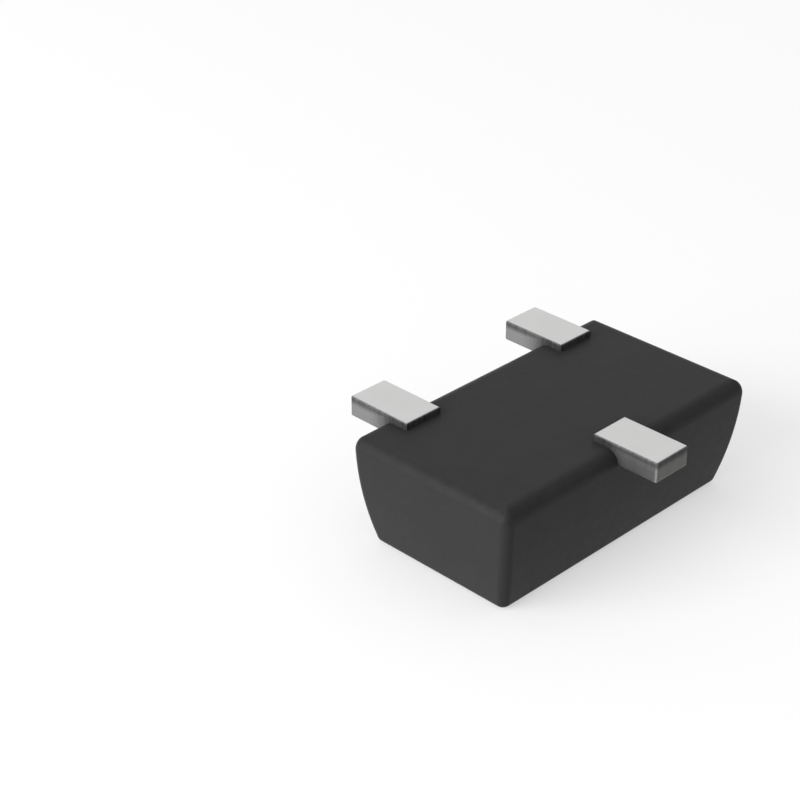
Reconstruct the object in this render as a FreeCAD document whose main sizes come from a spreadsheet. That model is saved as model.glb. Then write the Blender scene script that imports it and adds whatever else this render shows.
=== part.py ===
import FreeCAD, Part
import math
import os

import Sketcher
from FreeCAD import Placement, Rotation, Vector

# A small three-lead surface-mount transistor, lying on its marked face with its leads up.
# Z = 0 is the marked face, and +Z points out of the soldering side. X runs along the moulding.
# The collector lead points to -Y, and the base and emitter leads point to +Y.

# Driving dimensions in millimetres, and the angle in degrees
DIMENSIONS = [
    ("body_length", 3.02, "moulding along X, at its soldering side"),
    ("body_width", 1.71, "moulding along Y, at its soldering side"),
    ("body_height", 1.02, "marked face to soldering side"),
    ("wall_arc_radius", 3.78, "curve of the four walls, upright at the soldering side"),
    ("upright_corner_radius", 0.085, "rounding of the four upright edges"),
    ("solder_side_edge_radius", 0.13, "rounding around the soldering side"),
    ("marked_face_edge_radius", 0.08, "rounding around the marked face"),
    ("lead_span", 2.465, "tip to tip, across the moulding"),
    ("lead_pitch", 1.90, "between the base and emitter leads"),
    ("lead_width", 0.395, "foot and riser, along X"),
    ("lead_thickness", 0.19, "sheet that the leadframe is stamped from"),
    ("lead_standoff", 0.065, "how far the contact faces stand out of the moulding"),
    ("foot_edge_radius", 0.02, "rounding of the foot's edges"),
    ("coined_depth", 0.10, "upright part of the foot's inner end"),
    ("riser_angle", 60, "slope of the riser inside the moulding"),
    ("riser_height", 0.36, "from a contact face to the same face of the level part"),
    ("bend_radius", 0.05, "inside radius of the riser's bends"),
    ("pad_length", 1.20, "die pad, along X"),
    ("pad_margin", 0.03, "die pad showing past the adhesive, at its two long sides"),
    ("pad_corner_radius", 0.06, "plan corners of the die pad"),
    ("post_width", 0.19, "bond post, along Y"),
    ("post_clearance", 0.15, "between the die pad and the bond posts"),
    ("post_gap", 0.60, "between the two bond posts"),
    ("post_corner_radius", 0.04, "plan corners of a bond post's end"),
    ("die_side", 0.36, "square silicon die"),
    ("die_thickness", 0.15, "silicon die"),
    ("attach_margin", 0.02, "adhesive showing around the die"),
    ("attach_thickness", 0.02, "adhesive layer between die and pad"),
    ("wire_diameter", 0.03, "bond wire"),
    ("ball_diameter", 0.08, "squashed ball of a wire on the die"),
    ("ball_height", 0.02, "squashed ball of a wire on the die"),
    ("stitch_diameter", 0.07, "flattened end of a wire on its post"),
    ("stitch_height", 0.02, "flattened end of a wire on its post"),
    ("tail_length", 0.05, "straight end of a wire, from its bend to the middle of the stitch"),
    ("tail_clearance", 0.004, "between a post and the tail of its wire, beside the stitch"),
    ("bond_pitch", 0.18, "between the two balls on the die"),
    ("bond_inset", 0.12, "from a bond post's inner end to the stitch"),
    ("loop_height", 0.15, "top of a wire's centre line, away from the die"),
    ("loop_radius", 0.06, "bends of a wire's centre line"),
]

doc = FreeCAD.newDocument("three_lead_transistor")
sheet = doc.addObject("Spreadsheet::Sheet", "Sizes")
for row, (alias, number, meaning) in enumerate(DIMENSIONS, 1):
    sheet.set(f"A{row}", str(number))
    sheet.setAlias(f"A{row}", alias)
    sheet.set(f"B{row}", meaning)
doc.recompute()

# Levels above the marked face. Upper faces look to the soldering side, and lower ones to the marking.
CONTACT = "(Sizes.body_height + Sizes.lead_standoff)"
FOOT_LOWER = f"({CONTACT} - Sizes.lead_thickness)"
LEVEL_UPPER = f"({CONTACT} - Sizes.riser_height)"
LEVEL_LOWER = f"({LEVEL_UPPER} - Sizes.lead_thickness)"
DIE_UPPER = f"({LEVEL_LOWER} - Sizes.attach_thickness)"
DIE_LOWER = f"({DIE_UPPER} - Sizes.die_thickness)"

# The die pad is as wide as the die on it needs. It and a bond post fill the room between the risers.
ATTACH_SIDE = "(Sizes.die_side + 2 * Sizes.attach_margin)"
PAD_WIDTH = f"({ATTACH_SIDE} + 2 * Sizes.pad_margin)"
LEVEL_START = f"(({PAD_WIDTH} + Sizes.post_clearance + Sizes.post_width) / 2)"

# Distances from the middle of the moulding, along a lead, of the corners of its stamped profile
SLOPE = "tan(Sizes.riser_angle)"
OUTER_BEND_RADIUS = "(Sizes.bend_radius + Sizes.lead_thickness)"
LOWER_BEND = f"({LEVEL_START} + {OUTER_BEND_RADIUS} * tan(Sizes.riser_angle / 2))"
RISER_STEP = "(Sizes.lead_thickness * (1 - cos(Sizes.riser_angle)) - Sizes.coined_depth)"
RISER_LOWER = f"({LOWER_BEND} + (Sizes.riser_height + {RISER_STEP}) / {SLOPE})"
HEEL = f"({RISER_LOWER} - {RISER_STEP} / {SLOPE})"
INNER_END = f"({RISER_LOWER} - Sizes.lead_thickness * sin(Sizes.riser_angle))"
UPPER_BEND = f"({INNER_END} - (Sizes.riser_height - Sizes.coined_depth) / {SLOPE})"
TIP = "(Sizes.lead_span / 2)"

# Places of the die and of the wires' two ends
PAD_MIDDLE = f"({LEVEL_START} - {PAD_WIDTH} / 2)"
POST_MIDDLE = f"({LEVEL_START} - Sizes.post_width / 2)"
BALL_X = "(Sizes.bond_pitch / 2)"
STITCH_X = "(Sizes.post_gap / 2 + Sizes.bond_inset)"
RUN_X = f"({STITCH_X} - {BALL_X})"
RUN_Y = f"({POST_MIDDLE} + {PAD_MIDDLE})"
RUN = f"sqrt({RUN_X} ^ 2 + {RUN_Y} ^ 2)"
DROP = "(Sizes.die_thickness + Sizes.attach_thickness)"

# A wire's centre line: the height of its first bend's centre, and where its tail along the post starts
HIGH_Y = "(Sizes.loop_height - Sizes.loop_radius)"
TAIL_X = f"({RUN} - Sizes.tail_length)"
TAIL_Y = f"(Sizes.wire_diameter / 2 + Sizes.tail_clearance - {DROP})"

TINY = 1e-6


# Sketches, and the features made from them


def value(expression):
    """What an expression comes to, so that a sketch is drawn in its final shape before it is bound."""
    return float(sheet.evalExpression(expression))


def new_body(label):
    body = doc.addObject("PartDesign::Body", label)
    body.Label = label
    return body


def new_sketch(body, name, role, offset="0"):
    """A sketch on one of the body's own planes, moved along that plane's normal."""
    sketch = body.newObject("Sketcher::SketchObject", name)
    plane = [item for item in body.Origin.OriginFeatures if item.Role == role][0]
    sketch.AttachmentSupport = (plane, [""])
    sketch.MapMode = "FlatFace"
    sketch.setExpression("AttachmentOffset.Base.z", offset)
    return sketch


def fix(sketch, kind, *places):
    sketch.addConstraint(Sketcher.Constraint(kind, *places))


def tie(sketch, kind, places, expression):
    """Adds one dimension to a sketch and binds it to the sheet."""
    index = sketch.addConstraint(Sketcher.Constraint(kind, *places, value(expression)))
    sketch.setExpression(f"Constraints[{index}]", expression)


def draw_outline(sketch, corners):
    """Straight sides between corners given as pairs of expressions. Side k ends at corner k."""
    places = [Vector(value(across), value(up), 0) for across, up in corners]
    count = len(corners)
    sides = [sketch.addGeometry(Part.LineSegment(places[k - 1], places[k])) for k in range(count)]
    for k, (across, up) in enumerate(corners):
        fix(sketch, "Coincident", sides[k], 2, sides[(k + 1) % count], 1)
        tie(sketch, "DistanceX", (-1, 1, sides[k], 2), across)
        tie(sketch, "DistanceY", (-1, 1, sides[k], 2), up)
    return sides


def draw_box(sketch, left, lower, right, upper):
    return draw_outline(sketch, [(left, lower), (right, lower), (right, upper), (left, upper)])


def draw_disc(sketch, across, diameter):
    """A circle with its centre on the sketch's first axis."""
    centre = Vector(value(across), 0, 0)
    disc = sketch.addGeometry(Part.Circle(centre, Vector(0, 0, 1), value(diameter) / 2))
    fix(sketch, "PointOnObject", disc, 3, -1)
    tie(sketch, "DistanceX", (-1, 1, disc, 3), across)
    tie(sketch, "Diameter", (disc,), diameter)


def pad(body, name, sketch, length, midplane=False):
    feature = body.newObject("PartDesign::Pad", name)
    feature.Profile = sketch
    feature.Midplane = midplane
    feature.setExpression("Length", length)
    doc.recompute()
    return feature


def round_edges(body, name, base, wanted, radius):
    """Rounds those edges of a feature that pass a test."""
    feature = body.newObject("PartDesign::Fillet", name)
    feature.Base = (base, [f"Edge{k}" for k, edge in enumerate(base.Shape.Edges, 1) if wanted(edge)])
    feature.setExpression("Radius", radius)
    doc.recompute()
    return feature


def lies_at(edge, level):
    return abs(edge.BoundBox.ZMin - level) < TINY and abs(edge.BoundBox.ZMax - level) < TINY


def stands(edge):
    """True for an edge that climbs more than it runs."""
    rise = edge.Vertexes[-1].Point - edge.Vertexes[0].Point
    return abs(rise.z) > Vector(rise.x, rise.y, 0).Length


def corner_place(sketch, side):
    """Where a side of an outline ends, in its body."""
    return sketch.Placement.multVec(sketch.getPoint(side, 2))


def over_corners(sketch, *sides):
    """A test for the straight edges that a pad draws out of the corners where these sides end."""
    along = sketch.Placement.Rotation.multVec(Vector(0, 0, 1))
    corners = [corner_place(sketch, side) for side in sides]

    def over(edge, corner):
        return all((vertex.Point - corner).cross(along).Length < TINY for vertex in edge.Vertexes)

    return lambda edge: any(over(edge, corner) for corner in corners)


# Moulding: a block of compound whose four walls share one curve


def draw_section(sketch, width):
    """The block cut across: marked face below, soldering side above, and a curved wall each side."""
    half = value(f"{width} / 2")
    height = value("Sizes.body_height")
    radius = value("Sizes.wall_arc_radius")
    lower_half = half - radius + (radius**2 - height**2) ** 0.5
    marked_face = sketch.addGeometry(Part.LineSegment(Vector(-lower_half, 0, 0), Vector(lower_half, 0, 0)))
    solder_side = sketch.addGeometry(Part.LineSegment(Vector(-half, height, 0), Vector(half, height, 0)))
    for way, end, first, last in ((1, 2, 1, 2), (-1, 1, 2, 1)):
        centre = Vector(way * (half - radius), height, 0)
        low = Vector(way * lower_half, 0, 0)
        high = Vector(way * half, height, 0)
        between = centre + (low + high - centre - centre).normalize() * radius
        wall = sketch.addGeometry(Part.Arc(low, between, high))
        fix(sketch, "Coincident", wall, first, marked_face, end)
        fix(sketch, "Coincident", wall, last, solder_side, end)
        fix(sketch, "PointOnObject", marked_face, end, -1)
        tie(sketch, "Radius", (wall,), "Sizes.wall_arc_radius")
        tie(sketch, "DistanceY", (-1, 1, wall, 3), "Sizes.body_height")
        tie(sketch, "DistanceX", (-1, 1, solder_side, end), f"{way} * {width} / 2")
    fix(sketch, "Horizontal", solder_side)
    tie(sketch, "DistanceY", (-1, 1, solder_side, 1), "Sizes.body_height")


block = new_body("moulded_block")
long_section = new_sketch(block, "LongSection", "XZ_Plane")
draw_section(long_section, "Sizes.body_length")
pad(block, "Stock", long_section, "2 * Sizes.body_width", midplane=True)

# The stock is cut to the cross section by a pocket of all that lies round that section
BEYOND = "(Sizes.body_width + Sizes.body_height)"
cross_section = new_sketch(block, "CrossSection", "YZ_Plane")
draw_section(cross_section, "Sizes.body_width")
draw_box(cross_section, f"-{BEYOND}", f"-{BEYOND}", BEYOND, BEYOND)
trim = block.newObject("PartDesign::Pocket", "Trim")
trim.Profile = cross_section
trim.Midplane = True
trim.setExpression("Length", "2 * Sizes.body_length")
doc.recompute()

corners = round_edges(block, "UprightCorners", trim, stands, "Sizes.upright_corner_radius")
solder_side = round_edges(
    block,
    "SolderSideEdge",
    corners,
    lambda edge: lies_at(edge, value("Sizes.body_height")),
    "Sizes.solder_side_edge_radius",
)
round_edges(
    block,
    "MarkedFaceEdge",
    solder_side,
    lambda edge: lies_at(edge, 0),
    "Sizes.marked_face_edge_radius",
)


# Leads: plated strip, each stamped in one piece with its pad or post.
# A lead is drawn with its tip towards +Y, and its Placement takes it to its side.


def new_lead(label, level_end):
    """A foot with a coined square inner end, a sloping riser, and the level strip behind it."""
    lead = new_body(label)
    profile = new_sketch(lead, "StripProfile", "YZ_Plane")
    sides = draw_outline(
        profile,
        [
            (TIP, CONTACT),
            (INNER_END, CONTACT),
            (INNER_END, f"{CONTACT} - Sizes.coined_depth"),
            (UPPER_BEND, LEVEL_UPPER),
            (level_end, LEVEL_UPPER),
            (level_end, LEVEL_LOWER),
            (LOWER_BEND, LEVEL_LOWER),
            (HEEL, FOOT_LOWER),
            (TIP, FOOT_LOWER),
        ],
    )
    tip, inner_end, _, upper_bend, _, _, lower_bend, heel, _ = sides
    strip = pad(lead, "Strip", profile, "Sizes.lead_width", midplane=True)
    inside = over_corners(profile, upper_bend, heel)
    bent = round_edges(lead, "InsideBends", strip, inside, "Sizes.bend_radius")
    bent = round_edges(lead, "OutsideBend", bent, over_corners(profile, lower_bend), OUTER_BEND_RADIUS)

    tip_corner = corner_place(profile, tip)
    inner_corner = corner_place(profile, inner_end)

    def on_foot(edge):
        """Long edges of the foot, and the edges around its contact face and its tip."""
        box = edge.BoundBox
        long_edge = box.XLength < TINY < box.YLength
        around_face = lies_at(edge, tip_corner.z) or box.YMin > tip_corner.y - TINY
        return box.YMin > inner_corner.y - TINY and (long_edge or around_face)

    round_edges(lead, "FootEdges", bent, on_foot, "Sizes.foot_edge_radius")
    return lead


def add_level_part(lead, left, right, width, rounded, radius):
    """The die pad or bond post, from the end of the riser's bend inwards, with rounded plan corners."""
    outline = new_sketch(lead, "LevelOutline", "XY_Plane", LEVEL_LOWER)
    sides = draw_box(outline, left, f"{LEVEL_START} - {width}", right, LEVEL_START)
    level = pad(lead, "Level", outline, "Sizes.lead_thickness")
    rounded_corners = over_corners(outline, *[sides[k] for k in rounded])
    round_edges(lead, "LevelCorners", level, rounded_corners, radius)


collector_lead = new_lead("collector_lead", PAD_MIDDLE)
add_level_part(
    collector_lead,
    "-Sizes.pad_length / 2",
    "Sizes.pad_length / 2",
    PAD_WIDTH,
    (0, 1, 2, 3),
    "Sizes.pad_corner_radius",
)
collector_lead.Placement = Placement(Vector(), Rotation(Vector(0, 0, 1), 180))

# Base at -X and emitter at +X, each with a post that reaches in towards the other
post_leads = []
for label, way in (("base_lead", -1), ("emitter_lead", 1)):
    lead = new_lead(label, POST_MIDDLE)
    add_level_part(
        lead,
        f"{way} * (Sizes.post_gap - Sizes.lead_pitch) / 2",
        f"{way} * Sizes.lead_width / 2",
        "Sizes.post_width",
        (0, 3),
        "Sizes.post_corner_radius",
    )
    lead.setExpression("Placement.Base.x", f"{way} * Sizes.lead_pitch / 2")
    post_leads.append(lead)


# Die and the adhesive under it, on the side of the pad that looks to the marking


def square_plate(label, side, thickness, level):
    plate = new_body(label)
    outline = new_sketch(plate, "Outline", "XY_Plane")
    draw_box(outline, f"-{side} / 2", f"-{side} / 2", f"{side} / 2", f"{side} / 2")
    pad(plate, "Thickness", outline, thickness)
    plate.setExpression("Placement.Base.y", f"-{PAD_MIDDLE}")
    plate.setExpression("Placement.Base.z", level)
    return plate


die_attach = square_plate("die_attach", ATTACH_SIDE, "Sizes.attach_thickness", DIE_UPPER)
silicon_die = square_plate("silicon_die", "Sizes.die_side", "Sizes.die_thickness", DIE_LOWER)


# Bond wires: each rises from a ball on the die, bends over and runs down to a stitch on its post.
# A wire is drawn with +Z towards the marking and +X towards its post.


def draw_wire_line(sketch):
    """An upright neck, a bend, a straight descent, a bend, and a tail along the post."""
    tail_start = Vector(value(TAIL_X), value(TAIL_Y), 0)
    tail_end = Vector(value(RUN), tail_start.y, 0)
    radius = value("Sizes.loop_radius")
    high = Vector(radius, value(HIGH_Y), 0)
    low = tail_start + Vector(0, radius, 0)
    between = low - high
    steepness = math.asin(2 * radius / between.Length) - math.atan2(between.y, between.x)
    normal = Vector(0, 0, 1)
    over_arc = Part.ArcOfCircle(Part.Circle(high, normal, radius), math.pi / 2 - steepness, math.pi)
    under_arc = Part.ArcOfCircle(
        Part.Circle(low, normal, radius), 3 * math.pi / 2 - steepness, 3 * math.pi / 2
    )
    neck = sketch.addGeometry(Part.LineSegment(Vector(), over_arc.EndPoint))
    over = sketch.addGeometry(over_arc)
    descent = sketch.addGeometry(Part.LineSegment(over_arc.StartPoint, under_arc.StartPoint))
    under = sketch.addGeometry(under_arc)
    tail = sketch.addGeometry(Part.LineSegment(tail_start, tail_end))

    fix(sketch, "Coincident", -1, 1, neck, 1)
    fix(sketch, "Vertical", neck)
    fix(sketch, "Tangent", neck, 2, over, 2)
    fix(sketch, "Tangent", over, 1, descent, 1)
    fix(sketch, "Tangent", descent, 2, under, 1)
    fix(sketch, "Tangent", under, 2, tail, 1)
    fix(sketch, "Horizontal", tail)
    tie(sketch, "Radius", (over,), "Sizes.loop_radius")
    tie(sketch, "Radius", (under,), "Sizes.loop_radius")
    tie(sketch, "DistanceY", (-1, 1, over, 3), HIGH_Y)
    tie(sketch, "DistanceY", (-1, 1, tail, 1), TAIL_Y)
    tie(sketch, "DistanceX", (-1, 1, tail, 1), TAIL_X)
    tie(sketch, "DistanceX", (-1, 1, tail, 2), RUN)


wires = []
for label, way in (("base_bond_wire", -1), ("emitter_bond_wire", 1)):
    wire = new_body(label)
    line = new_sketch(wire, "CentreLine", "XZ_Plane")
    draw_wire_line(line)
    section = new_sketch(wire, "Section", "XY_Plane")
    draw_disc(section, "0", "Sizes.wire_diameter")
    doc.recompute()
    run = wire.newObject("PartDesign::AdditivePipe", "Run")
    run.Profile = section
    run.Spine = line
    ball = new_sketch(wire, "BallOutline", "XY_Plane")
    draw_disc(ball, "0", "Sizes.ball_diameter")
    pad(wire, "Ball", ball, "Sizes.ball_height")
    stitch = new_sketch(wire, "StitchOutline", "XY_Plane", f"-{DROP}")
    draw_disc(stitch, RUN, "Sizes.stitch_diameter")
    pad(wire, "Stitch", stitch, "Sizes.stitch_height")

    # Half a turn about a level axis halfway to the heading brings +Z down and +X onto the heading
    heading = f"atan2({RUN_Y}; {way} * {RUN_X})"
    turn = f"rotation(vector(cos({heading} / 2); sin({heading} / 2); 0); 180)"
    bond = f"vector({way} * {BALL_X}; -{PAD_MIDDLE}; {DIE_LOWER})"
    wire.setExpression("Placement", f"placement({bond}; {turn})")
    wires.append(wire)

# The compound fills all the room that the leadframe, the die and the wires leave in the block
inner_pieces = doc.addObject("Part::MultiFuse", "inner_pieces")
inner_pieces.Shapes = [collector_lead, *post_leads, die_attach, silicon_die, *wires]
moulded_body = doc.addObject("Part::Cut", "moulded_body")
moulded_body.Label = "moulded_body"
moulded_body.Base = block
moulded_body.Tool = inner_pieces
doc.recompute()

for item in doc.Objects:
    if "Invalid" in item.State or "Error" in item.State:
        raise RuntimeError(f"{item.Name} failed: {item.State}")

pieces = [moulded_body, collector_lead, *post_leads, die_attach, silicon_die, *wires]
for piece in pieces:
    if piece.Shape.isNull() or not piece.Shape.isValid():
        raise RuntimeError(f"{piece.Label} has no valid shape")

os.makedirs("parts", exist_ok=True)
for piece in pieces:
    piece.Shape.exportStep(f"parts/{piece.Label}.step")
    print(piece.Label, len(piece.Shape.Solids), "solid", round(piece.Shape.Volume, 5), "mm3")
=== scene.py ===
import math

import bmesh
import bpy
from mathutils import Matrix, Vector


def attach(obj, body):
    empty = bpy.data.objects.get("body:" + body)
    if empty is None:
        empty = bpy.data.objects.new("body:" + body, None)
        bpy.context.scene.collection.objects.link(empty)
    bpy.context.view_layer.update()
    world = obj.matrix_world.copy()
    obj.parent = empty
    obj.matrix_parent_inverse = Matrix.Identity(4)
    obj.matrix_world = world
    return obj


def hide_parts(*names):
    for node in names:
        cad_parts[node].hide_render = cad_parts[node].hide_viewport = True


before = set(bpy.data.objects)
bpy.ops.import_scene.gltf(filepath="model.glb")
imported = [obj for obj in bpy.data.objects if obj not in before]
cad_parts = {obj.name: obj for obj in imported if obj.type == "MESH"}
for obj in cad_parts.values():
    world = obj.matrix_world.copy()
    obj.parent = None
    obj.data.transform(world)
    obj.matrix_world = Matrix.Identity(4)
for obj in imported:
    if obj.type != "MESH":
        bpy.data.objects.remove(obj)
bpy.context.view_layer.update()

# Leads: copper alloy strip, stamped, bent and plated with matte tin before moulding. The long sides
# are sheared, with a rougher, lined face; their far darker colour than the top's is painted shade.
# The tip is cut through last, so that it shows the bare alloy with only a smear of tin, and its
# dark grey is painted shade as well.

MM = 0.001
NOISE_LOW, NOISE_HIGH = 0.3, 0.7

# In millimetres: from the part's centre to the tips and to the edge of the moulding, and the height
# of the contact faces
FOOT_TIP = 1.2325
BODY_EDGE = 0.85
CONTACT_HEIGHT = 1.085

# In millimetres: how far inside the tip's plane its cut face fades in, how deep under the contact
# face the side starts, the depths between which the sides carry a painted dark band of shade, and
# how far painted shade from the moulding reaches along them, on both sides of the moulding's edge
TIP_FADE_START, TIP_FADE_END = 0.02, 0.004
SIDE_START = 0.006
SHADE_BAND_TOP, SHADE_BAND_FOOT = 0.03, 0.085
BODY_SHADE_INSIDE, BODY_SHADE_OUTSIDE = 0.14, 0.2

TIN = (0.8, 0.8, 0.795, 1)
MOTTLED_TIN = (0.72, 0.72, 0.715, 1)
# Painted shade: the sides' colours, far darker than the top's
SHADED_SIDE_TIN = (0.26, 0.26, 0.26, 1)
SHADED_LINED_TIN = (0.24, 0.24, 0.24, 1)
# Painted shade: the dark band under the contact face and the shade beside the moulding
PAINTED_SHADE_TIN = (0.06, 0.06, 0.06, 1)
# Painted shade: the tip's dark grey
SHADED_CUT_TIP = (0.115, 0.113, 0.11, 1)
SHADED_LINED_CUT_TIP = (0.09, 0.088, 0.086, 1)


def shader_group(name, inputs, outputs):
    """A new node group with float or vector sockets, given as pairs of a name and a default value."""
    group = bpy.data.node_groups.new(name, "ShaderNodeTree")
    for socket_name, default in inputs:
        kind = "NodeSocketVector" if isinstance(default, tuple) else "NodeSocketFloat"
        socket = group.interface.new_socket(name=socket_name, in_out="INPUT", socket_type=kind)
        socket.default_value = default
    for socket_name in outputs:
        group.interface.new_socket(name=socket_name, in_out="OUTPUT", socket_type="NodeSocketFloat")
    return group, group.nodes.new("NodeGroupInput"), group.nodes.new("NodeGroupOutput")


def join(tree, source, target):
    tree.links.new(source, target)


def give(tree, socket, given):
    """Sets a socket to a number or a colour, or joins another node's output to it."""
    if isinstance(given, (int, float, tuple)):
        socket.default_value = given
    else:
        join(tree, given, socket)


def maths(tree, operation, first, second=0.0, third=0.0):
    """A Math node. Each of its inputs is a number or another node's output."""
    node = tree.nodes.new("ShaderNodeMath")
    node.operation = operation
    for socket, given in zip(node.inputs, (first, second, third)):
        give(tree, socket, given)
    return node.outputs["Value"]


def ramp(tree, value, low, high, to_low=0.0, to_high=1.0):
    """Takes a value from the range low to high smoothly to the range to_low to to_high."""
    node = tree.nodes.new("ShaderNodeMapRange")
    node.interpolation_type = "SMOOTHSTEP"
    join(tree, value, node.inputs["Value"])
    for name, given in (
        ("From Min", low),
        ("From Max", high),
        ("To Min", to_low),
        ("To Max", to_high),
    ):
        give(tree, node.inputs[name], given)
    return node.outputs["Result"]


def spread(tree, noise_value, to_low=0.0, to_high=1.0):
    """Takes the middle of a noise, where most of its values lie, to the range to_low to to_high."""
    return ramp(tree, noise_value, NOISE_LOW, NOISE_HIGH, to_low, to_high)


def noise(tree, place, scale, detail, roughness=0.5):
    """Noise of so many features a millimetre, given by another node's output."""
    node = tree.nodes.new("ShaderNodeTexNoise")
    node.inputs["Detail"].default_value = detail
    node.inputs["Roughness"].default_value = roughness
    join(tree, place, node.inputs["Vector"])
    join(tree, scale, node.inputs["Scale"])
    return node.outputs["Fac"]


def blend_colours(tree, share, first, second):
    """The first colour where the share is 0 and the second where it is 1."""
    node = tree.nodes.new("ShaderNodeMix")
    node.data_type = "RGBA"
    join(tree, share, node.inputs["Factor"])
    give(tree, node.inputs[6], first)
    give(tree, node.inputs[7], second)
    return node.outputs[2]


def edge_wear_and_shade_group():
    """Patchy mask of rounded edges, by the surface's turn off the axes: wear, and painted shade."""
    group, given, result = shader_group(
        "edge_wear_and_shade",
        [
            ("Place", (0.0, 0.0, 0.0)),
            ("Normal", (0.0, 0.0, 1.0)),
            ("Start", 0.05),
            ("Full", 0.2),
            ("Patches", 20.0),
        ],
        ["Mask"],
    )
    split = group.nodes.new("ShaderNodeSeparateXYZ")
    join(group, given.outputs["Normal"], split.inputs["Vector"])
    sides = [maths(group, "ABSOLUTE", split.outputs[axis]) for axis in "XYZ"]
    flatness = maths(group, "MAXIMUM", maths(group, "MAXIMUM", sides[0], sides[1]), sides[2])
    turn = maths(group, "SUBTRACT", 1.0, flatness)
    edge = ramp(group, turn, given.outputs["Start"], given.outputs["Full"])
    patches = noise(group, given.outputs["Place"], given.outputs["Patches"], 3.0)
    rubbed = ramp(group, patches, 0.3, 0.65, 0.35, 1.0)
    join(group, maths(group, "MULTIPLY", edge, rubbed), result.inputs["Mask"])
    return group


def grain_group():
    """Fine grain and wider, softer mottling, as two noises around one half."""
    group, given, result = shader_group(
        "fine_grain",
        [("Place", (0.0, 0.0, 0.0)), ("Grain Scale", 100.0), ("Mottle Scale", 6.0)],
        ["Grain", "Mottle"],
    )
    place = given.outputs["Place"]
    grain = noise(group, place, given.outputs["Grain Scale"], 3.0, 0.6)
    mottle = noise(group, place, given.outputs["Mottle Scale"], 4.0, 0.55)
    join(group, grain, result.inputs["Grain"])
    join(group, mottle, result.inputs["Mottle"])
    return group


def streak_group():
    """Lines drawn along one direction by a roll, a die or a saw, from a squeezed place."""
    group, given, result = shader_group(
        "drawn_lines",
        [("Place", (0.0, 0.0, 0.0)), ("Squeeze", (1.0, 1.0, 1.0)), ("Scale", 40.0)],
        ["Lines"],
    )
    squeezed = group.nodes.new("ShaderNodeVectorMath")
    squeezed.operation = "MULTIPLY"
    join(group, given.outputs["Place"], squeezed.inputs[0])
    join(group, given.outputs["Squeeze"], squeezed.inputs[1])
    lines = noise(group, squeezed.outputs["Vector"], given.outputs["Scale"], 2.0)
    join(group, lines, result.inputs["Lines"])
    return group


EDGE_WEAR_AND_SHADE = edge_wear_and_shade_group()
FINE_GRAIN = grain_group()
DRAWN_LINES = streak_group()


class Finish:
    """A material in the making, with the place in millimetres and the object's own normal."""

    def __init__(self, name):
        self.material = bpy.data.materials.new(name)
        self.material.use_nodes = True
        self.tree = self.material.node_tree
        self.shader = self.tree.nodes["Principled BSDF"]
        coordinates = self.tree.nodes.new("ShaderNodeTexCoord")
        in_millimetres = self.tree.nodes.new("ShaderNodeVectorMath")
        in_millimetres.operation = "SCALE"
        in_millimetres.inputs["Scale"].default_value = 1 / MM
        join(self.tree, coordinates.outputs["Object"], in_millimetres.inputs[0])
        self.place = in_millimetres.outputs["Vector"]
        self.normal = coordinates.outputs["Normal"]

    def effect(self, group, **values):
        """Places a shared effect. Socket names are given with underscores in place of spaces."""
        node = self.tree.nodes.new("ShaderNodeGroup")
        node.node_tree = group
        join(self.tree, self.place, node.inputs["Place"])
        if "Normal" in node.inputs:
            join(self.tree, self.normal, node.inputs["Normal"])
        for name, number in values.items():
            node.inputs[name.replace("_", " ")].default_value = number
        return node.outputs

    def component(self, vector, axis):
        split = self.tree.nodes.new("ShaderNodeSeparateXYZ")
        join(self.tree, vector, split.inputs["Vector"])
        return split.outputs[axis]

    def bump(self, height, depth):
        """Height from 0 to 1 stands for so many millimetres."""
        node = self.tree.nodes.new("ShaderNodeBump")
        node.inputs["Distance"].default_value = depth * MM
        join(self.tree, height, node.inputs["Height"])
        join(self.tree, node.outputs["Normal"], self.shader.inputs["Normal"])

    def feed(self, socket, given):
        give(self.tree, self.shader.inputs[socket], given)


def wear_finish(names, material):
    """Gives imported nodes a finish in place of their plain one."""
    for name in names:
        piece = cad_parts[name]
        piece.data.materials.clear()
        piece.data.materials.append(material)


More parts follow.
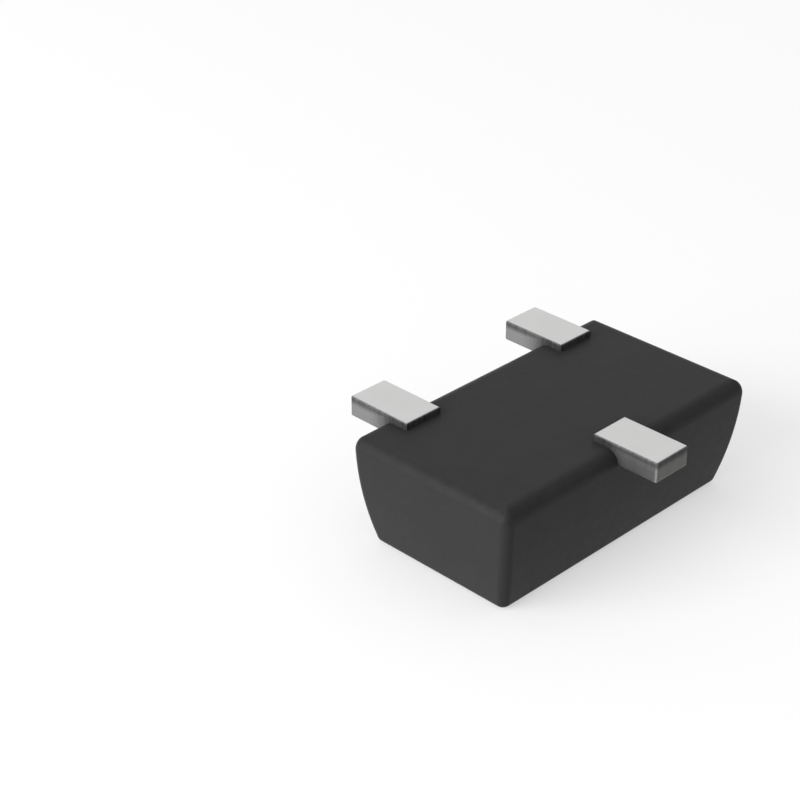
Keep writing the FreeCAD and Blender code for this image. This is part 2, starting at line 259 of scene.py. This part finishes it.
def plated_lead_finish():
    tin = Finish("matte_tin_on_copper")
    tree = tin.tree
    grain = tin.effect(FINE_GRAIN, Grain_Scale=70.0, Mottle_Scale=5.0)
    rolled = tin.effect(DRAWN_LINES, Squeeze=(1.0, 0.06, 1.0), Scale=45.0)["Lines"]
    sheared = tin.effect(DRAWN_LINES, Squeeze=(1.0, 1.0, 0.12), Scale=30.0)["Lines"]
    edge_mask = tin.effect(EDGE_WEAR_AND_SHADE, Start=0.04, Full=0.2, Patches=25.0)["Mask"]

    # Sheared faces look along X or Y, and the cut tip is the one that lies out at the tip's own plane
    face_up = maths(tree, "ABSOLUTE", tin.component(tin.normal, "Z"))
    on_side = ramp(tree, face_up, 0.5, 0.95, 1.0, 0.0)
    across = maths(tree, "ABSOLUTE", tin.component(tin.normal, "Y"))
    reach = maths(tree, "ABSOLUTE", tin.component(tin.place, "Y"))
    at_tip = ramp(tree, reach, FOOT_TIP - TIP_FADE_START, FOOT_TIP - TIP_FADE_END)
    on_tip = maths(tree, "MULTIPLY", ramp(tree, across, 0.8, 0.97), at_tip)

    # Under the contact face each side carries a painted dark band of shade, and beside the moulding
    # the sides get painted shade from the body. The plating is rougher in both places.
    depth = maths(tree, "SUBTRACT", CONTACT_HEIGHT, tin.component(tin.place, "Z"))
    below_face = ramp(tree, depth, 0.0, SIDE_START)
    shade_band = ramp(tree, depth, SHADE_BAND_TOP, SHADE_BAND_FOOT, 0.8, 0.0)
    beside_moulding = ramp(
        tree, reach, BODY_EDGE - BODY_SHADE_INSIDE, BODY_EDGE + BODY_SHADE_OUTSIDE, 1.0, 0.0
    )
    body_shade = maths(tree, "MULTIPLY", beside_moulding, on_side)
    shade_and_dullness = maths(tree, "MULTIPLY", below_face, maths(tree, "MAXIMUM", shade_band, body_shade))
    shade_and_dullness = maths(tree, "MULTIPLY", shade_and_dullness, spread(tree, sheared, 0.85, 1.0))

    shade = spread(tree, grain["Mottle"], 0.0, 0.3)
    cut_shade = spread(tree, sheared, 0.0, 0.5)
    top_colour = blend_colours(tree, shade, TIN, MOTTLED_TIN)
    # Painted shade: the sides and the tip take much darker colours than the top
    side_colour = blend_colours(tree, cut_shade, SHADED_SIDE_TIN, SHADED_LINED_TIN)
    tip_colour = blend_colours(tree, cut_shade, SHADED_CUT_TIP, SHADED_LINED_CUT_TIP)
    colour = blend_colours(tree, on_side, top_colour, side_colour)
    colour = blend_colours(tree, on_tip, colour, tip_colour)
    colour = blend_colours(tree, maths(tree, "MULTIPLY", edge_mask, 0.15), colour, TIN)
    # Painted shade: the dark band under the contact face and the shade beside the moulding
    tin.feed("Base Color", blend_colours(tree, shade_and_dullness, colour, PAINTED_SHADE_TIN))
    tin.feed("Metallic", 1.0)

    matte = spread(tree, grain["Grain"], 0.33, 0.41)
    rough = maths(tree, "MULTIPLY_ADD", on_side, 0.08, matte)
    rough = maths(tree, "MULTIPLY_ADD", edge_mask, -0.05, rough)
    tin.feed("Roughness", maths(tree, "MULTIPLY_ADD", shade_and_dullness, 0.3, rough))
    relief = maths(tree, "MULTIPLY_ADD", rolled, 0.5, grain["Grain"])
    cut_relief = maths(tree, "MULTIPLY", sheared, on_side)
    tin.bump(maths(tree, "ADD", relief, cut_relief), 0.0012)
    return tin.material


wear_finish(("collector_lead", "base_lead", "emitter_lead"), plated_lead_finish())

# Die attach: a thin layer of silver-filled epoxy paste under the die, squeezed out a little all
# round it and cured. Its flakes give a dull, uneven grey.

CURED_RESIN = (0.36, 0.36, 0.35, 1)
SILVER_FLAKES = (0.62, 0.62, 0.6, 1)


def die_attach_finish():
    paste = Finish("silver_filled_epoxy")
    tree = paste.tree
    flakes = paste.effect(FINE_GRAIN, Grain_Scale=160.0, Mottle_Scale=20.0)
    bright = ramp(tree, flakes["Grain"], 0.45, 0.65)
    paste.feed("Base Color", blend_colours(tree, bright, CURED_RESIN, SILVER_FLAKES))
    paste.feed("Metallic", ramp(tree, flakes["Grain"], 0.45, 0.65, 0.3, 0.8))
    paste.feed("Roughness", spread(tree, flakes["Mottle"], 0.45, 0.6))
    paste.bump(flakes["Grain"], 0.002)
    return paste.material


wear_finish(("die_attach",), die_attach_finish())

# Die: a square of silicon, sawn out of a polished wafer and bedded in the paste. Its face is a dark
# mirror, and its four sides keep the fine lines of the saw.

BLUE_SILICON = (0.15, 0.16, 0.19, 1)
GREY_SILICON = (0.18, 0.18, 0.2, 1)
SAWN_SILICON = (0.2, 0.2, 0.21, 1)


def silicon_finish():
    silicon = Finish("sawn_silicon")
    tree = silicon.tree
    tone = silicon.effect(FINE_GRAIN, Grain_Scale=120.0, Mottle_Scale=8.0)
    saw_lines = silicon.effect(DRAWN_LINES, Squeeze=(0.1, 0.1, 1.0), Scale=220.0)["Lines"]
    face_up = maths(tree, "ABSOLUTE", silicon.component(silicon.normal, "Z"))
    sawn = ramp(tree, face_up, 0.3, 0.7, 1.0, 0.0)
    face = blend_colours(tree, tone["Mottle"], BLUE_SILICON, GREY_SILICON)
    silicon.feed("Base Color", blend_colours(tree, sawn, face, SAWN_SILICON))
    silicon.feed("Metallic", 0.6)
    polish = spread(tree, tone["Grain"], 0.1, 0.16)
    silicon.feed("Roughness", maths(tree, "MULTIPLY_ADD", sawn, 0.35, polish))
    silicon.bump(maths(tree, "MULTIPLY", saw_lines, sawn), 0.002)
    return silicon.material


wear_finish(("silicon_die",), silicon_finish())

# Bond wires: gold drawn to a few hundredths of a millimetre. Each is melted to a ball, pressed onto
# the die, looped over and squashed flat onto its lead's post.

LIGHT_GOLD = (0.95, 0.66, 0.28, 1)
DEEP_GOLD = (0.9, 0.6, 0.24, 1)


def bond_wire_finish():
    gold = Finish("drawn_gold")
    tree = gold.tree
    tone = gold.effect(FINE_GRAIN, Grain_Scale=180.0, Mottle_Scale=15.0)
    die_lines = gold.effect(DRAWN_LINES, Squeeze=(0.15, 0.15, 0.6), Scale=300.0)["Lines"]
    gold.feed("Base Color", blend_colours(tree, tone["Mottle"], LIGHT_GOLD, DEEP_GOLD))
    gold.feed("Metallic", 1.0)
    gold.feed("Roughness", spread(tree, tone["Grain"], 0.16, 0.26))
    gold.bump(die_lines, 0.0006)
    return gold.material


wear_finish(("base_bond_wire", "emitter_bond_wire"), bond_wire_finish())

# Moulded body: one block of black filled epoxy, pressed in a spark-eroded mould round the leadframe.
# Its four walls share one curve, upright at the soldering side and drawn in towards the marked face,
# and the compound closes tightly round the leads, the die and the wires.

# In millimetres
BODY_LENGTH = 3.02
BODY_WIDTH = 1.71
BODY_HEIGHT = 1.02
WALL_RADIUS = 3.78
CORNER_RADIUS = 0.085
SHARPEST_CORNER = 0.004
SOLDER_SIDE_EDGE = 0.13
MARKED_FACE_EDGE = 0.08

# How many faces follow each curve
EDGE_STEPS = 10
WALL_STEPS = 16
CORNER_STEPS = 10

# Where the curved wall runs into its two rounded edges: how far it leans there, and at what height
LOW_LEAN = math.asin((BODY_HEIGHT - MARKED_FACE_EDGE) / (WALL_RADIUS - MARKED_FACE_EDGE))
HIGH_LEAN = math.asin(SOLDER_SIDE_EDGE / (WALL_RADIUS - SOLDER_SIDE_EDGE))
WALL_LOW = BODY_HEIGHT - WALL_RADIUS * math.sin(LOW_LEAN)
WALL_HIGH = BODY_HEIGHT - WALL_RADIUS * math.sin(HIGH_LEAN)

# What cutting is exact to, in decimals and in millimetres, and what is too small to keep after it
DECIMALS = 5
WELD = 1e-5
SLIVER_WIDTH = 0.001
EMPTY_FACE = 1e-4

# A face is outside if it lies this near the block's skin, and turns this nearly as the skin does
SKIN_DEPTH = 0.02
SKIN_AGREES = 0.95

COMPOUND = (0.031, 0.031, 0.0313, 1)
PALER_COMPOUND = (0.033, 0.033, 0.0333, 1)
FILLER = (0.045, 0.045, 0.045, 1)
# Painted shade along the soldering side's rounded edge
PAINTED_EDGE_SHADE = (0.01, 0.01, 0.01, 1)


def rounded_edge(height, radius, centre_height):
    """Inset, plan corner radius and upward turn on an edge that a ball rolled in the wall leaves."""
    reach = WALL_RADIUS - radius
    centre_inset = WALL_RADIUS - math.sqrt(reach**2 - (BODY_HEIGHT - centre_height) ** 2)
    turn = math.asin(max(-1.0, min(1.0, (height - centre_height) / radius)))
    shrink = radius * math.cos(turn)
    return centre_inset - shrink, max(CORNER_RADIUS - radius + shrink, SHARPEST_CORNER), turn


def skin_at(height):
    """Inset from the widest outline, plan corner radius and upward turn of the block's skin."""
    if height > WALL_HIGH:
        return rounded_edge(height, SOLDER_SIDE_EDGE, BODY_HEIGHT - SOLDER_SIDE_EDGE)
    if height < WALL_LOW:
        return rounded_edge(height, MARKED_FACE_EDGE, MARKED_FACE_EDGE)
    lean = math.asin((BODY_HEIGHT - height) / WALL_RADIUS)
    return WALL_RADIUS * (1 - math.cos(lean)), CORNER_RADIUS, -lean


def level_heights():
    """Heights of the block's levels, close together over its rounded edges."""
    low_sweep = math.pi / 2 - LOW_LEAN
    high_sweep = math.pi / 2 + HIGH_LEAN
    low_turns = [-math.pi / 2 + low_sweep * k / EDGE_STEPS for k in range(EDGE_STEPS)]
    high_turns = [-HIGH_LEAN + high_sweep * k / EDGE_STEPS for k in range(EDGE_STEPS + 1)]
    low = [MARKED_FACE_EDGE * (1 + math.sin(turn)) for turn in low_turns]
    wall = [WALL_LOW + (WALL_HIGH - WALL_LOW) * k / WALL_STEPS for k in range(WALL_STEPS)]
    high = [BODY_HEIGHT - SOLDER_SIDE_EDGE * (1 - math.sin(turn)) for turn in high_turns]
    return low + wall + high


def skin_normal(point):
    """The way the block's skin faces at a point on it, so that no facets or cuts show."""
    inset, corner, turn = skin_at(point.z)
    over_x = abs(point.x) - (BODY_LENGTH / 2 - inset - corner)
    over_y = abs(point.y) - (BODY_WIDTH / 2 - inset - corner)
    if over_x > 0 and over_y > 0:
        outward = Vector((over_x, over_y, 0)).normalized()
    else:
        outward = Vector((1, 0, 0)) if over_x > over_y else Vector((0, 1, 0))
    outward = Vector((math.copysign(outward.x, point.x), math.copysign(outward.y, point.y), 0))
    return outward * math.cos(turn) + Vector((0, 0, math.sin(turn)))


def depth_below_skin(point):
    inset, _, _ = skin_at(point.z)
    below_end = BODY_LENGTH / 2 - inset - abs(point.x)
    below_side = BODY_WIDTH / 2 - inset - abs(point.y)
    return min(below_end, below_side, BODY_HEIGHT - point.z, point.z)


def on_skin(face):
    """True for a face of the outside, which faces the way the whole block does there."""
    agrees = face.normal.dot(skin_normal(face.center)) > SKIN_AGREES
    return agrees and depth_below_skin(face.center) < SKIN_DEPTH


def rounded_rectangle(half_length, half_width, radius):
    """Points of one level of the block, anticlockwise from +X, with an arc at each plan corner."""
    points = []
    for quarter, (way_x, way_y) in enumerate(((1, 1), (-1, 1), (-1, -1), (1, -1))):
        for step in range(CORNER_STEPS + 1):
            angle = math.radians(90 * (quarter + step / CORNER_STEPS))
            x = way_x * (half_length - radius) + radius * math.cos(angle)
            y = way_y * (half_width - radius) + radius * math.sin(angle)
            points.append((x, y))
    return points


def block_form():
    """The block before anything is cut out of it, as rings of corners from the marked face up."""
    form = bmesh.new()
    rings = []
    for height in level_heights():
        inset, corner, _ = skin_at(height)
        outline = rounded_rectangle(BODY_LENGTH / 2 - inset, BODY_WIDTH / 2 - inset, corner)
        rings.append([form.verts.new((x, y, height)) for x, y in outline])
    for lower, upper in zip(rings, rings[1:]):
        for k in range(len(lower)):
            form.faces.new((lower[k - 1], lower[k], upper[k], upper[k - 1]))
    form.faces.new(reversed(rings[0]))
    form.faces.new(rings[-1])
    bmesh.ops.recalc_face_normals(form, faces=form.faces)
    return form


def object_from(form, name):
    mesh = bpy.data.meshes.new(name)
    form.to_mesh(mesh)
    form.free()
    piece = bpy.data.objects.new(name, mesh)
    bpy.context.scene.collection.objects.link(piece)
    return piece


def hollow_for(block, node):
    """Cuts a piece of the inside out of the block. Both are in millimetres while they are cut."""
    form = bmesh.new()
    form.from_mesh(node.data)
    form.transform(Matrix.Scale(1 / MM, 4) @ node.matrix_world)
    # Rounded, so that two pieces that touch do so in exactly one plane, with no film between them
    for corner in form.verts:
        corner.co = [round(number, DECIMALS) for number in corner.co]
    bmesh.ops.remove_doubles(form, verts=form.verts, dist=WELD)
    cutter = object_from(form, "cutter")
    cut = block.modifiers.new("hollow", "BOOLEAN")
    cut.operation = "DIFFERENCE"
    cut.solver = "EXACT"
    cut.object = cutter
    depsgraph = bpy.context.evaluated_depsgraph_get()
    mesh = bpy.data.meshes.new_from_object(block.evaluated_get(depsgraph))
    block.modifiers.remove(cut)
    block.data = mesh
    cutter_mesh = cutter.data
    bpy.data.objects.remove(cutter)
    bpy.data.meshes.remove(cutter_mesh)


def clean_cuts(mesh):
    """Takes out the slivers that cutting leaves along edges, and leaves only triangles."""
    form = bmesh.new()
    form.from_mesh(mesh)
    bmesh.ops.remove_doubles(form, verts=form.verts, dist=SLIVER_WIDTH)
    bmesh.ops.dissolve_degenerate(form, edges=form.edges, dist=EMPTY_FACE)
    bmesh.ops.triangulate(form, faces=form.faces, quad_method="BEAUTY", ngon_method="BEAUTY")
    form.to_mesh(mesh)
    form.free()


def shade_skin(mesh):
    """Gives the outside its true normals, and the hollows inside the flat ones of their faces."""
    normals = []
    for face in mesh.polygons:
        face.use_smooth = True
        outside = on_skin(face)
        for corner in face.vertices:
            place = mesh.vertices[corner].co
            normals.append(skin_normal(place) if outside else face.normal.copy())
    mesh.normals_split_custom_set(normals)


def moulding_compound_finish():
    epoxy = Finish("black_moulding_compound")
    tree = epoxy.tree
    tone = epoxy.effect(FINE_GRAIN, Grain_Scale=90.0, Mottle_Scale=3.0)
    pits = epoxy.effect(FINE_GRAIN, Grain_Scale=38.0, Mottle_Scale=14.0)
    edge_mask = epoxy.effect(EDGE_WEAR_AND_SHADE, Start=0.01, Full=0.12, Patches=9.0)["Mask"]
    colour = blend_colours(tree, spread(tree, tone["Mottle"]), COMPOUND, PALER_COMPOUND)
    filler = ramp(tree, tone["Grain"], 0.62, 0.72, 0.0, 0.25)
    colour = blend_colours(tree, filler, colour, FILLER)
    # The rounded edge of the soldering side gets patches of painted shade
    upper_edge = ramp(tree, epoxy.component(epoxy.normal, "Z"), 0.0, 0.15)
    edge_shade = maths(tree, "MULTIPLY", maths(tree, "MULTIPLY", edge_mask, upper_edge), 0.22)
    epoxy.feed("Base Color", blend_colours(tree, edge_shade, colour, PAINTED_EDGE_SHADE))
    satin = spread(tree, pits["Mottle"], 0.36, 0.42)
    epoxy.feed("Roughness", maths(tree, "SUBTRACT", satin, maths(tree, "MULTIPLY", edge_mask, 0.03)))
    epoxy.feed("Specular IOR Level", 0.06)
    epoxy.bump(maths(tree, "ADD", pits["Grain"], tone["Grain"]), 0.0012)
    return epoxy.material


moulding = object_from(block_form(), "moulding")
for name in (
    "collector_lead",
    "base_lead",
    "emitter_lead",
    "die_attach",
    "silicon_die",
    "base_bond_wire",
    "emitter_bond_wire",
):
    hollow_for(moulding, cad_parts[name])
clean_cuts(moulding.data)
shade_skin(moulding.data)
moulding.data.transform(Matrix.Scale(MM, 4))
moulding.data.materials.clear()
moulding.data.materials.append(moulding_compound_finish())
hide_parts("moulded_body")
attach(moulding, "root")

# Floor: a plain white sheet of matt card that the part lies on, with its marked face down. It looks
# white to the camera and in reflections, and throws less light than that back onto the part.

FLOOR_HALF = 200 * MM
FLOOR_GAP = 0.001 * MM
WHITE = (1, 1, 1, 1)
THROWN_COLOUR = (0.56, 0.56, 0.56, 1)
SEEN_COLOUR = (0.49, 0.49, 0.49, 1)
SEEN_GLOW = 0.5


def card_finish():
    card = Finish("white_card")
    tree = card.tree
    rays = tree.nodes.new("ShaderNodeLightPath").outputs
    seen = maths(tree, "ADD", rays["Is Camera Ray"], rays["Is Glossy Ray"])
    seen = maths(tree, "MINIMUM", maths(tree, "ADD", seen, rays["Is Transmission Ray"]), 1.0)
    card.feed("Base Color", blend_colours(tree, seen, THROWN_COLOUR, SEEN_COLOUR))
    card.feed("Roughness", 0.9)
    card.feed("Specular IOR Level", 0.0)
    card.feed("Emission Color", WHITE)
    card.feed("Emission Strength", maths(tree, "MULTIPLY", seen, SEEN_GLOW))
    return card.material


floor_mesh = bpy.data.meshes.new("floor")
floor_mesh.from_pydata(
    [
        (-FLOOR_HALF, -FLOOR_HALF, 0),
        (FLOOR_HALF, -FLOOR_HALF, 0),
        (FLOOR_HALF, FLOOR_HALF, 0),
        (-FLOOR_HALF, FLOOR_HALF, 0),
    ],
    [],
    [(0, 1, 2, 3)],
)
floor_mesh.materials.append(card_finish())
floor = bpy.data.objects.new("floor", floor_mesh)
floor.location.z = -FLOOR_GAP
bpy.context.scene.collection.objects.link(floor)

# Light: a wide soft sky that is dimmer at the horizon, one large softbox on the left, and a weak one
# behind. The softboxes hang a few centimetres away, which is far for a part of this size.

SKY_TOP = 0.76
SKY_HORIZON = 0.5

world = bpy.data.worlds.new("studio")
bpy.context.scene.world = world
world.use_nodes = True
sky = world.node_tree
sky_direction = sky.nodes.new("ShaderNodeTexCoord")
sky_split = sky.nodes.new("ShaderNodeSeparateXYZ")
join(sky, sky_direction.outputs["Generated"], sky_split.inputs["Vector"])
sky_height = maths(sky, "MAXIMUM", sky_split.outputs["Z"], 0.0)
sky_strength = maths(sky, "MULTIPLY_ADD", sky_height, SKY_TOP - SKY_HORIZON, SKY_HORIZON)
join(sky, sky_strength, sky.nodes["Background"].inputs["Strength"])
sky.nodes["Background"].inputs["Color"].default_value = WHITE


def soft_lamp(name, direction, distance, size, strength):
    """A square area lamp that faces the part, all in millimetres, and its radiance as strength."""
    light = bpy.data.lights.new(name, "AREA")
    light.shape = "SQUARE"
    light.size = size * MM
    light.energy = strength * math.pi * (size * MM) ** 2
    lamp = bpy.data.objects.new(name, light)
    bpy.context.scene.collection.objects.link(lamp)
    towards = Vector(direction).normalized()
    lamp.location = towards * distance * MM
    lamp.rotation_mode = "QUATERNION"
    lamp.rotation_quaternion = towards.to_track_quat("Z", "Y")


soft_lamp("left_softbox", direction=(-0.92, 0.26, 0.32), distance=60, size=50, strength=6.0)
soft_lamp("back_softbox", direction=(0.614, 0.612, 0.497), distance=60, size=40, strength=0.16)

# Camera: above and to the left of the long wall, as the photo was taken. It stands a short way off
# with a long lens, and its place is given along its own right, up and back.

AZIMUTH = math.radians(-45.159)
ELEVATION = math.radians(29.820)
ROLL = math.radians(0.119)
PLACE_RIGHT, PLACE_UP, PLACE_BACK = -1.2713, 0.9352, 16.880
SENSOR_WIDTH = 36
FOCAL_LENGTH_IN_PIXELS = 1984.05
PICTURE_WIDTH_IN_PIXELS = 800

camera_back = Vector(
    (
        math.sin(AZIMUTH) * math.cos(ELEVATION),
        -math.cos(AZIMUTH) * math.cos(ELEVATION),
        math.sin(ELEVATION),
    )
)
level_right = Vector((math.cos(AZIMUTH), math.sin(AZIMUTH), 0))
level_up = camera_back.cross(level_right)
camera_right = math.cos(ROLL) * level_right + math.sin(ROLL) * level_up
camera_up = math.cos(ROLL) * level_up - math.sin(ROLL) * level_right
camera_place = PLACE_RIGHT * camera_right + PLACE_UP * camera_up + PLACE_BACK * camera_back
camera_turn = Matrix((camera_right, camera_up, camera_back)).transposed()

camera_data = bpy.data.cameras.new("camera")
camera_data.sensor_width = SENSOR_WIDTH
camera_data.lens = SENSOR_WIDTH * FOCAL_LENGTH_IN_PIXELS / PICTURE_WIDTH_IN_PIXELS
camera_data.clip_start = MM
camera = bpy.data.objects.new("camera", camera_data)
bpy.context.scene.collection.objects.link(camera)
camera.location = MM * camera_place
camera.rotation_mode = "QUATERNION"
camera.rotation_quaternion = camera_turn.to_quaternion()
bpy.context.scene.camera = camera
bpy.context.scene.view_settings.view_transform = "Standard"
